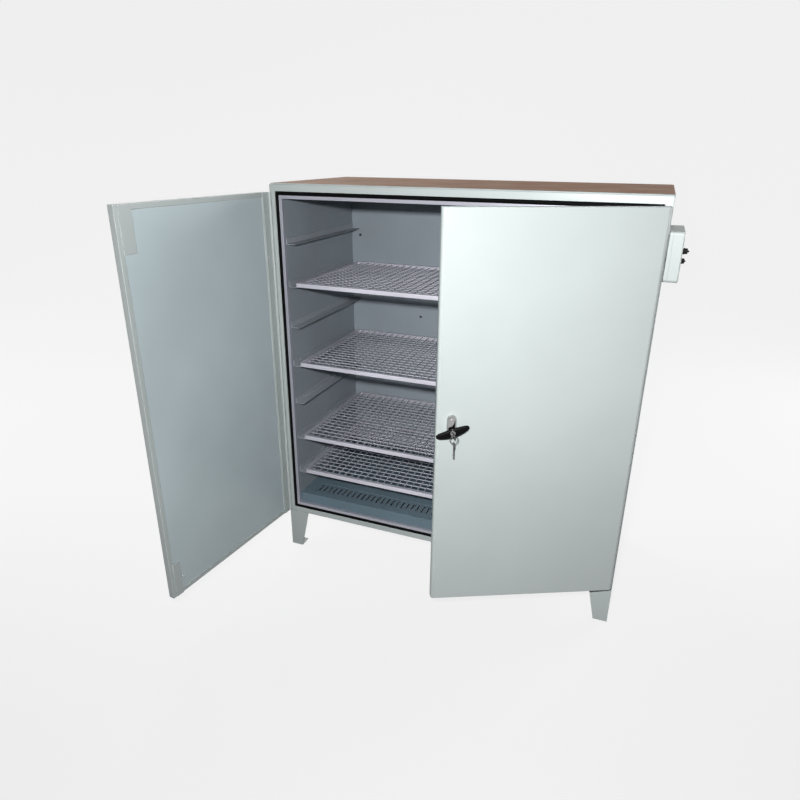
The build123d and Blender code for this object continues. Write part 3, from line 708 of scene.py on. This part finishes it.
for tray in ("tray_1", "tray_2", "tray_3", "tray_4"):
    low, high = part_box(tray + "_frame")
    under = high.z - TRAY_SHEET
    folded = rounded_outline([
        (0, low.z, TRAY_EDGE), (0, high.z, TRAY_FOLD), (TRAY_FLANGE, high.z, TRAY_EDGE),
        (TRAY_FLANGE, under, TRAY_EDGE), (TRAY_SHEET, under, TRAY_INNER_FOLD),
        (TRAY_SHEET, low.z, TRAY_EDGE)])
    rim = carried_round(folded, (low.x, low.y), (high.x, high.y), TRAY_CORNER)
    fit(tray + "_folded_rim", rim, tray_zinc, tray + "_frame", hoop=True)
    low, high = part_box(tray + "_long_wires")
    starts = [(x, low.y, low.z + WIRE_RADIUS)
              for x in np.linspace(low.x + WIRE_RADIUS, high.x - WIRE_RADIUS, LONG_WIRES)]
    ends = [(x, high.y, z) for x, _, z in starts]
    low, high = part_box(tray + "_cross_wires")
    across = [(low.x, y, high.z - WIRE_RADIUS)
              for y in np.linspace(low.y + WIRE_RADIUS, high.y - WIRE_RADIUS, CROSS_WIRES)]
    starts, ends = starts + across, ends + [(high.x, y, z) for _, y, z in across]
    fit(tray + "_wire_mesh", round_wires(starts, ends), tray_zinc,
        tray + "_long_wires", tray + "_cross_wires")

# The legs
# Four tapered legs, each two plates folded along the corner and painted with the casing, on
# round rubber pads.
LEG_EDGE = 0.0013
PAD_COLOUR = (0.02, 0.02, 0.02, 1.0)
PAD_RADIUS = 0.014
PAD_EDGE = 0.0015
PAD_UNDERSIDE = 0.7
PAD_NECK = 0.72
PAD_SHOULDER = 0.55
PAD_NECK_FROM = 0.62
TURNED_SIDES = 40


def turned(profile, place, axis, sides=TURNED_SIDES):
    """A profile of (radius, height) turned about an axis: rows by point, columns by angle."""
    radius, height = np.array(profile, float).T[:, :, None, None]
    axis = Vector(axis).normalized()
    side = axis.orthogonal().normalized()
    angle = (np.arange(sides) * (2 * math.pi / sides))[:, None]
    ring = np.cos(angle) * np.array(side) + np.sin(angle) * np.array(axis.cross(side))
    return np.array(place) + radius * ring[None] + height * np.array(axis)


pad_rubber = finish_material("pad_rubber", PAD_COLOUR, roughness=0.6, unevenness=0.15,
                             shine=0.2)
for node in ("front_left_leg", "front_right_leg", "back_left_leg", "back_right_leg"):
    leg = softened(node + "_plates", node, LEG_EDGE)
    dress(leg, body_paint, node)

low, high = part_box("foot_pads")
neck, pad_height = PAD_NECK * PAD_RADIUS, high.z - low.z
pad_profile = [(PAD_UNDERSIDE * PAD_RADIUS, 0.0), (PAD_RADIUS - PAD_EDGE, 0.0),
               (PAD_RADIUS, PAD_EDGE), (PAD_RADIUS, PAD_SHOULDER * pad_height),
               (neck, PAD_NECK_FROM * pad_height), (neck, pad_height)]
fit("rubber_foot_pads", np.stack([
    turned(pad_profile, (x, y, low.z), (0, 0, 1))
    for x in (low.x + PAD_RADIUS, high.x - PAD_RADIUS)
    for y in (low.y + PAD_RADIUS, high.y - PAD_RADIUS)]), pad_rubber, "foot_pads")

# The control box
# A painted steel box on the right side wall, with its lid pressed over the base so that a seam
# shows, and four small screws in the lid.
BOX_EDGE = 0.004
BOX_ARC_POINTS = 6
BOX_SEAM_AT = 0.010
BOX_SEAM_WIDTH = 0.0016
BOX_SEAM_DEPTH = 0.0009
BOX_SEAM_STEP = 0.0002
BOX_SEAM_CHAMFER = 0.0006
BOX_SCREW = (0.0034, 0.0012)
BOX_SCREW_MARGIN = 0.012

low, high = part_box("control_box")
box_face, seam = high.x, low.x + BOX_SEAM_AT
box_profile = [(0, low.x), (0, seam), (BOX_SEAM_DEPTH, seam + BOX_SEAM_STEP),
               (BOX_SEAM_DEPTH, seam + BOX_SEAM_WIDTH),
               (0, seam + BOX_SEAM_WIDTH + BOX_SEAM_CHAMFER)]
box_profile += [(BOX_EDGE * (1 - math.cos(t)), box_face - BOX_EDGE * (1 - math.sin(t)))
                for t in np.linspace(0, math.pi / 2, BOX_ARC_POINTS)]
fit("control_box_lid", facing(carried_round(
    box_profile, (low.y, low.z), (high.y, high.z), 2 * BOX_EDGE), 0), body_paint, "control_box")
places = [(box_face, y, z) for y in (low.y + BOX_SCREW_MARGIN, high.y - BOX_SCREW_MARGIN)
          for z in (low.z + BOX_SCREW_MARGIN, high.z - BOX_SCREW_MARGIN)]
fit("control_box_screws", screw_heads(places, (1, 0, 0), BOX_SCREW), screw_zinc)

# The knobs
# Two moulded black knobs on the control box: a thin skirt, a ribbed drum, a raised grip across
# the drum's face and a pale pointer line let into the grip.
KNOB_COLOUR = (0.008, 0.008, 0.009, 1.0)
KNOB_SEAT_GAP = 0.0005
KNOB_SKIRT = 0.3
KNOB_DRUM = 0.88
KNOB_EDGE = 0.0005
KNOB_EYE = 0.3
KNOB_RIBS = 24
KNOB_RIB_DEPTH = 0.0004
GRIP_RISE = 0.25
GRIP_EDGE = 0.0012
POINTER_COLOUR = (0.75, 0.75, 0.72, 1.0)
POINTER_DEPTH = 0.0012
POINTER_HALF_WIDTH = 0.0005
POINTER_CORNER = 0.0004
POINTER_FROM = 0.7
POINTER_TO = 0.1

knob_plastic = finish_material("knob_plastic", KNOB_COLOUR, roughness=0.42, unevenness=0.1,
                               shine=0.15)
pointer_paint = finish_material("pointer_paint", POINTER_COLOUR, roughness=0.5)


def ribbed_knob(radius, depth, place):
    """A skirt and a drum about +X, the drum's radius falling in shallow grooves.

    It is the profile of a thin disc with a narrower drum on it, turned about the axis. Along the
    drum the radius is less by a depth times the square of a sine of the angle.
    """
    drum, edge, sides = KNOB_DRUM * radius, KNOB_EDGE, 4 * KNOB_RIBS
    skirt, face = KNOB_SKIRT * depth, (1 - GRIP_RISE) * depth
    on_skirt = [(radius - edge, 0.0), (radius, edge), (radius, skirt - edge),
                (radius - edge, skirt)]
    on_drum = [(drum, skirt), (drum, face - 2 * edge), (drum - 2 * edge, face)]
    rows = turned(on_skirt + on_drum + [(KNOB_EYE * drum, face)], (0, 0, 0), (1, 0, 0), sides)
    angle = np.arange(sides) * (2 * math.pi / sides)
    groove = 1 - KNOB_RIB_DEPTH / radius * np.sin(angle * KNOB_RIBS / 2) ** 2
    rows[len(on_skirt):-1, :, 1:] *= groove[None, :, None]
    return rows + np.array(place)


for name, body in (("thermostat_knob", "thermostat"), ("switch_knob", "switch")):
    low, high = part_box(name)
    y, z, radius = (low.y + high.y) / 2, (low.z + high.z) / 2, (high.z - low.z) / 2
    seat = box_face + KNOB_SEAT_GAP
    depth, drum = high.x - seat, KNOB_DRUM * radius
    reach = KNOB_DRUM * drum
    knob = ribbed_knob(radius, depth, (seat, y, z))
    fit(name + "_drum", knob, knob_plastic, name, body=body)
    grip = slab((high.x - GRIP_RISE * depth - HAIR, y - reach, z - drum / 4),
                (high.x - HAIR, y + reach, z + drum / 4), drum / 5, GRIP_EDGE, 0)
    fit(name + "_grip", grip, knob_plastic, body=body)
    pointer = slab((high.x - POINTER_DEPTH, y - POINTER_FROM * drum, z - POINTER_HALF_WIDTH),
                   (high.x, y - POINTER_TO * drum, z + POINTER_HALF_WIDTH), POINTER_CORNER, HAIR, 0)
    fit(name + "_pointer", pointer, pointer_paint, body=body)

# The doors
# Two hollow pans of enamelled sheet steel, half round along the hinge. A flat inner sheet lies
# within each pan's return and closes it.
PANEL_COLOUR = (0.490, 0.560, 0.580, 1.0)
PAN_EDGE = 0.0016
PANEL_CORNER = 0.003
PANEL_EDGE = 0.0008
LEFT_DOOR_ANGLE = 96.0
RIGHT_DOOR_ANGLE = 26.0


def hinge_of(name):
    """Where a joint's axis passes, as the frame gives it."""
    return next(joint["pos_m"] for joint in frame["joints"] if joint["name"] == name)


DOORS = {
    "left": (-1, math.radians(LEFT_DOOR_ANGLE), hinge_of("left_door_hinge")),
    "right": (1, math.radians(RIGHT_DOOR_ANGLE), hinge_of("right_door_hinge")),
}


def on_door(rows, hand):
    """Swings rows drawn as (along, outward, up) from the hinge axis to the door's place."""
    side, angle, hinge = DOORS[hand]
    along, outward = rows[..., 0], rows[..., 1]
    x = hinge[0] - side * (along * math.cos(angle) - outward * math.sin(angle))
    y = hinge[1] - along * math.sin(angle) - outward * math.cos(angle)
    return np.stack([x, y, rows[..., 2]], -1)


def box_on_door(hand, node):
    """A node's lowest and highest corners as (along, outward, up) from the hinge axis."""
    side, angle, hinge = DOORS[hand]
    corners = np.array([vertex.co for vertex in frame["nodes"][node].data.vertices])
    across, ahead = side * (hinge[0] - corners[:, 0]), hinge[1] - corners[:, 1]
    along = across * math.cos(angle) + ahead * math.sin(angle)
    outward = ahead * math.cos(angle) - across * math.sin(angle)
    drawn = np.stack([along, outward, corners[:, 2]], -1)
    return drawn.min(0), drawn.max(0)


def inner_plate(low, high, radius, edge):
    """A slab drawn as (along, outward, up) whose outer face is turned to the chamber."""
    return slab(low, high, radius, edge, 1, flip=-1)


panel_paint = finish_material("panel_paint", PANEL_COLOUR, roughness=0.4, unevenness=0.05,
                              coat=0.03)
for hand in ("left", "right"):
    node, body = hand + "_door_shell", hand + "_door"
    pan = softened(hand + "_door_pan", node, PAN_EDGE)
    dress(pan, body_paint, node, body=body)
    node = hand + "_door_panel"
    panel = inner_plate(*box_on_door(hand, node), PANEL_CORNER, PANEL_EDGE)
    fit(hand + "_door_inner_sheet", on_door(panel, hand), panel_paint, node, body=body)

# The hinges
# A continuous hinge along each door, painted with the casing: rolled knuckles on a pin, one
# leaf screwed to the front frame and one to the inside of the door.
KNUCKLES = 5
KNUCKLE_GAP = 0.001
KNUCKLE_RADIUS = 0.0048
KNUCKLE_CHAMFER = 0.0006
KNUCKLE_SIDES = 24
PIN_RADIUS = 0.0025
PIN_SIDES = 20
LEAF_SHEET = 0.002
LEAF_NOTCH = 0.0055
LEAF_WIDTH = 0.016
LEAF_EDGE = 0.0004
HINGE_SCREW = (0.0032, 0.0008)
HINGE_SCREWS = 8
HINGE_SCREW_MARGIN = 0.05
HINGE_SCREW_ALONG = 0.7

pan_low, pan_high = box_on_door("left", "left_door_shell")
knuckle_step = (pan_high[2] - pan_low[2]) / KNUCKLES
knuckle_lows = pan_low[2] + knuckle_step * np.arange(KNUCKLES)
knuckle_from, knuckle_to = KNUCKLE_GAP / 2, knuckle_step - KNUCKLE_GAP / 2
knuckle_profile = [
    (KNUCKLE_RADIUS - KNUCKLE_CHAMFER, knuckle_from),
    (KNUCKLE_RADIUS, knuckle_from + KNUCKLE_CHAMFER),
    (KNUCKLE_RADIUS, knuckle_to - KNUCKLE_CHAMFER),
    (KNUCKLE_RADIUS - KNUCKLE_CHAMFER, knuckle_to)]


def leaf_and_tabs(width, outward, seat, lows):
    """A hinge leaf along the door's height and the tabs that join it to its knuckles."""
    plates = [((LEAF_NOTCH, outward, pan_low[2]), (width, seat, pan_high[2]))]
    plates += [((0.0, outward, low + knuckle_from), (LEAF_NOTCH + HAIR, seat, low + knuckle_to))
               for low in lows]
    return np.stack([inner_plate(low, high, HAIR, LEAF_EDGE) for low, high in plates])


def knuckles_on(hinge, lows):
    """Rolled knuckles about a hinge's axis, one above each height."""
    return np.stack([turned(knuckle_profile, (hinge[0], hinge[1], low), (0, 0, 1),
                            KNUCKLE_SIDES) for low in lows])


door_seat = pan_low[1]
leaf_face = door_seat - LEAF_SHEET
for hand in ("left", "right"):
    side, angle, hinge = DOORS[hand]
    tabs = leaf_and_tabs(LEAF_WIDTH, front - LEAF_SHEET, front, knuckle_lows[0::2])
    tabs[..., 0] = hinge[0] - side * tabs[..., 0]
    nodes = ("frame_hinge_leaves",) if hand == "left" else ()
    fit(hand + "_frame_leaf", tabs, body_paint, *nodes)
    fit(hand + "_frame_knuckles", knuckles_on(hinge, knuckle_lows[0::2]), body_paint)
    fit(hand + "_hinge_pin", turned(
        [(PIN_RADIUS, pan_low[2]), (PIN_RADIUS, pan_high[2])], (hinge[0], hinge[1], 0),
        (0, 0, 1), PIN_SIDES), screw_zinc)
    node, body = hand + "_hinge_leaf", hand + "_door"
    width = box_on_door(hand, node)[1][0]
    tabs = leaf_and_tabs(width, leaf_face, door_seat, knuckle_lows[1::2])
    fit(hand + "_door_leaf", on_door(tabs, hand), body_paint, node, body=body)
    knuckles = knuckles_on(hinge, knuckle_lows[1::2])
    fit(hand + "_door_knuckles", knuckles, body_paint, body=body)
    ups = np.linspace(pan_low[2] + HINGE_SCREW_MARGIN, pan_high[2] - HINGE_SCREW_MARGIN,
                      HINGE_SCREWS)
    places = [on_door(np.array((HINGE_SCREW_ALONG * width, leaf_face, up)), hand) for up in ups]
    inward = (-side * math.sin(angle), math.cos(angle), 0.0)
    heads = screw_heads(places, inward, HINGE_SCREW)
    fit(hand + "_door_leaf_screws", heads, screw_zinc, body=body)

# The bolt plates
# Two steel plates on the inside of the left door's free edge cover its top and bottom bolts.
# They are painted with the door, and a small nub beside the lower one pulls its bolt.
PLATE_RIGHT = 0.579
PLATE_SHEET = 0.002
PLATE_CORNER = 0.003
PLATE_EDGE = 0.0007
TOP_PLATE = (0.040, 0.122)
BOTTOM_PLATE = (0.028, 0.118)
NUB_SIZE = 0.007
NUB_UP = 0.053
NUB_PROUD = 0.006
NUB_CORNER = 0.002
NUB_EDGE = 0.0015

plates = [inner_plate((PLATE_RIGHT - width, door_seat - PLATE_SHEET, low),
                      (PLATE_RIGHT, door_seat, low + height), PLATE_CORNER, PLATE_EDGE)
          for (width, height), low in ((TOP_PLATE, pan_high[2] - TOP_PLATE[1]),
                                       (BOTTOM_PLATE, pan_low[2]))]
fit("bolt_cover_plates", on_door(np.stack(plates), "left"), body_paint,
    "left_bolt_plates", body="left_door")
nub_right, nub_low = PLATE_RIGHT - BOTTOM_PLATE[0], pan_low[2] + NUB_UP
nub = inner_plate((nub_right - NUB_SIZE, door_seat - NUB_PROUD, nub_low),
                  (nub_right, door_seat, nub_low + NUB_SIZE), NUB_CORNER, NUB_EDGE)
fit("bolt_pull_nub", on_door(nub, "left"), body_paint, body="left_door")

# The handle
# A chrome rose with a round top stands on the right door. In front of it turns a moulded black
# wing lever, and in its middle sits a chrome lock barrel.
CHROME_COLOUR = (0.50, 0.50, 0.50, 1.0)
LEVER_COLOUR = (0.005, 0.005, 0.0055, 1.0)
ROSE_WALL = 0.003
ROSE_DOME = 0.9
ROSE_DOME_POINTS = 10
ROSE_CORNER_STEPS = 12
LEVER_HALF = 0.048
LEVER_END = 0.005
LEVER_UPPER_BULGE = 0.004
LEVER_LOWER_BULGE = 0.011
LEVER_DEPTH = 0.012
LEVER_END_DEPTH = 0.7
LEVER_GAP = 0.003
LEVER_TILT = 18.0
LEVER_STATIONS = 41
LEVER_SIDES = 28
SQUARENESS = 0.55
SPINDLE_RADIUS = 0.005
SPINDLE_SUNK = 0.009
BARREL_RADIUS = 0.007
BARREL_PROUD = 0.004
BARREL_CHAMFER = 0.0008
DISH_RADIUS = 0.0052
DISH_DEPTH = 0.0004
DISH_EYE = 0.0005

bright_chrome = finish_material("bright_chrome", CHROME_COLOUR, roughness=0.08, metallic=1.0,
                                unevenness=0.02, smudges=0.03, grain_height=0.0)
lever_plastic = finish_material("lever_plastic", LEVER_COLOUR, roughness=0.4, unevenness=0.1,
                                shine=0.1)
rose_low, rose_high = box_on_door("right", "handle_rose")
rose_seat, rose_face = rose_low[1], rose_high[1]
rose_wall, rose_half = rose_seat + ROSE_WALL, (rose_high[0] - rose_low[0]) / 2
rose_profile = [(0, rose_seat), (0, rose_wall)]
rose_profile += [(ROSE_DOME * rose_half * (1 - math.cos(t)),
                  rose_wall + (rose_face - rose_wall) * math.sin(t))
                 for t in np.linspace(0, math.pi / 2, ROSE_DOME_POINTS)[1:]]
rose = carried_round(rose_profile, (rose_low[0], rose_low[2]), (rose_high[0], rose_high[2]),
                     rose_half, ROSE_CORNER_STEPS)
fit("chrome_rose", on_door(facing(rose, 1), "right"), bright_chrome, "handle_rose",
    body="right_door")

spindle_along, spindle_up = (rose_low[0] + rose_high[0]) / 2, hinge_of("lever_turn")[2]
lever_back = rose_face + LEVER_GAP
lever_face = lever_back + LEVER_DEPTH
barrel_face = lever_face + BARREL_PROUD


def on_spindle(rows, tilt=0.0):
    """Moves rows drawn as (along, outward, up) from the spindle's axis to the right door.

    They turn first about the spindle by the tilt, with their free-edge end going down.
    """
    lean = math.radians(tilt)
    along = spindle_along + rows[..., 0] * math.cos(lean) + rows[..., 2] * math.sin(lean)
    up = spindle_up - rows[..., 0] * math.sin(lean) + rows[..., 2] * math.cos(lean)
    return on_door(np.stack([along, rows[..., 1], up], -1), "right")


def wing_lever():
    """A wing whose section is a squared-off oval between an upper and a lower edge.

    Along the share u from -1 to 1 each edge lies an end's height and a bulge times 1 less u
    squared from the middle line. Near an end both are drawn in by a quarter circle. Round the
    section a point lies at signed powers of the cosine and sine of its angle.
    """
    u = np.sin(np.linspace(-math.pi / 2, math.pi / 2, LEVER_STATIONS))[1:-1, None]
    from_end = np.minimum(LEVER_HALF * (1 - abs(u)) / (2 * LEVER_END), 1)
    drawn_in = np.sqrt(1 - (1 - from_end) ** 2)
    upper = (LEVER_END + LEVER_UPPER_BULGE * (1 - u ** 2)) * drawn_in
    lower = -(LEVER_END + LEVER_LOWER_BULGE * (1 - u ** 2)) * drawn_in
    around = np.arange(LEVER_SIDES) * (2 * math.pi / LEVER_SIDES)
    cosine = np.sign(np.cos(around)) * abs(np.cos(around)) ** SQUARENESS
    sine = np.sign(np.sin(around)) * abs(np.sin(around)) ** SQUARENESS
    half_depth = LEVER_DEPTH / 2 * (LEVER_END_DEPTH + (1 - LEVER_END_DEPTH) * (1 - u ** 2))
    up = (upper + lower) / 2 + (upper - lower) / 2 * cosine
    outward = lever_back + LEVER_DEPTH / 2 + half_depth * sine
    return np.stack([np.broadcast_to(LEVER_HALF * u, up.shape), outward, up], -1)


fit("black_wing_lever", on_spindle(wing_lever(), LEVER_TILT), lever_plastic, "handle_lever",
    body="handle")
barrel = turned([
    (SPINDLE_RADIUS, rose_face - SPINDLE_SUNK), (SPINDLE_RADIUS, lever_back),
    (BARREL_RADIUS, lever_back), (BARREL_RADIUS, barrel_face - BARREL_CHAMFER),
    (BARREL_RADIUS - BARREL_CHAMFER, barrel_face), (DISH_RADIUS, barrel_face),
    (DISH_RADIUS - DISH_DEPTH, barrel_face - DISH_DEPTH), (DISH_EYE, barrel_face - DISH_DEPTH)],
    (0, 0, 0), (0, 1, 0))
fit("lock_barrel_turned", on_spindle(barrel, LEVER_TILT), bright_chrome, "lock_barrel",
    body="handle")

# The keys
# A flat nickel-plated key stands in the barrel, seen on edge. A wire ring through its bow
# carries a spare key that hangs down.
KEY_COLOUR = (0.16, 0.155, 0.15, 1.0)
KEY_HALF_SHEET = 0.001
KEY_EDGE = 0.0003
BOW_RADIUS = 0.009
BOW_HOLE = 0.0032
BOW_STEPS = 8
STEM_LENGTH = 0.008
STEM_HALF_WIDTH = 0.0025
STEM_SUNK = 0.001
STEM_OVERLAP = 0.002
RING_RADIUS = 0.011
RING_WIRE = 0.0009
RING_COLUMNS = 48
RING_SIDES = 10
SPARE_LENGTH = 0.036
SPARE_CUTS = 6
SPARE_CUT_DEPTH = 0.0012
SPARE_CUTS_FROM = 0.25
SPARE_CUTS_TO = 0.97
SPARE_TIP = 0.98

key_steel = finish_material("key_steel", KEY_COLOUR, roughness=0.3, metallic=1.0,
                            unevenness=0.08)
half = KEY_HALF_SHEET
bow_outward = barrel_face + STEM_LENGTH + BOW_RADIUS
spare_up = -2 * RING_RADIUS - BOW_RADIUS / 2


def key_bow(up):
    """A round plate with a hole, standing across the door before the spindle.

    Its section runs up the rim, over a small chamfer, in to the hole and back on the other face.
    """
    inner = BOW_RADIUS - BOW_HOLE
    section = [(0, -half + KEY_EDGE), (0, half - KEY_EDGE), (KEY_EDGE, half), (inner, half),
               (inner, -half), (KEY_EDGE, -half)]
    rows = carried_round(section, (bow_outward - BOW_RADIUS, up - BOW_RADIUS),
                         (bow_outward + BOW_RADIUS, up + BOW_RADIUS), BOW_RADIUS, BOW_STEPS)
    return on_spindle(facing(rows, 0))


def wire_ring():
    """A round wire bent to a ring that hangs flat before the door.

    A point lies at the ring's radius plus the wire's radius times a cosine, and is moved
    outward by the wire's radius times a sine.
    """
    about = (np.arange(RING_COLUMNS) * (2 * math.pi / RING_COLUMNS))[:, None]
    section = (np.arange(RING_SIDES) * (2 * math.pi / RING_SIDES))[None]
    reach = RING_RADIUS + RING_WIRE * np.cos(section)
    outward = bow_outward + RING_WIRE * np.sin(section) + 0 * about
    up = reach * np.sin(about) - RING_RADIUS
    return on_spindle(np.stack([reach * np.cos(about), outward, up], -1))


def cut_blade():
    """The spare key's blade: a strip whose outward edge is notched by a triangle wave."""
    share = np.linspace(0, 1, 4 * SPARE_CUTS + 1)
    top, tip = spare_up - BOW_RADIUS + STEM_OVERLAP, spare_up - BOW_RADIUS / 2 - SPARE_LENGTH
    up = top - share * (top - tip)
    wave = 1 - abs((share * SPARE_CUTS) % 1 * 2 - 1)
    notched = (share > SPARE_CUTS_FROM) & (share < SPARE_CUTS_TO)
    cut = SPARE_CUT_DEPTH * (np.where(notched, wave, 0) + (share > SPARE_TIP))
    near = bow_outward - STEM_HALF_WIDTH + 0 * share
    far = bow_outward + STEM_HALF_WIDTH - cut
    sides = [np.stack([thick + 0 * share, outward, up], -1)
             for thick, outward in ((-half, near), (half, near), (half, far), (-half, far))]
    return on_spindle(np.stack(sides, 1))


stem = slab((-half, barrel_face - STEM_SUNK, -STEM_HALF_WIDTH),
            (half, barrel_face + STEM_LENGTH + STEM_OVERLAP, STEM_HALF_WIDTH), HAIR, KEY_EDGE, 0)
fit("key_bow", key_bow(0.0), key_steel, "keys", body="handle", hoop=True)
fit("key_stem", on_spindle(stem), key_steel, body="handle")
fit("spare_key_bow", key_bow(spare_up), key_steel, body="handle", hoop=True)
fit("key_ring", wire_ring(), key_steel, body="handle", hoop=True)
fit("spare_key_blade", cut_blade(), key_steel, body="handle")
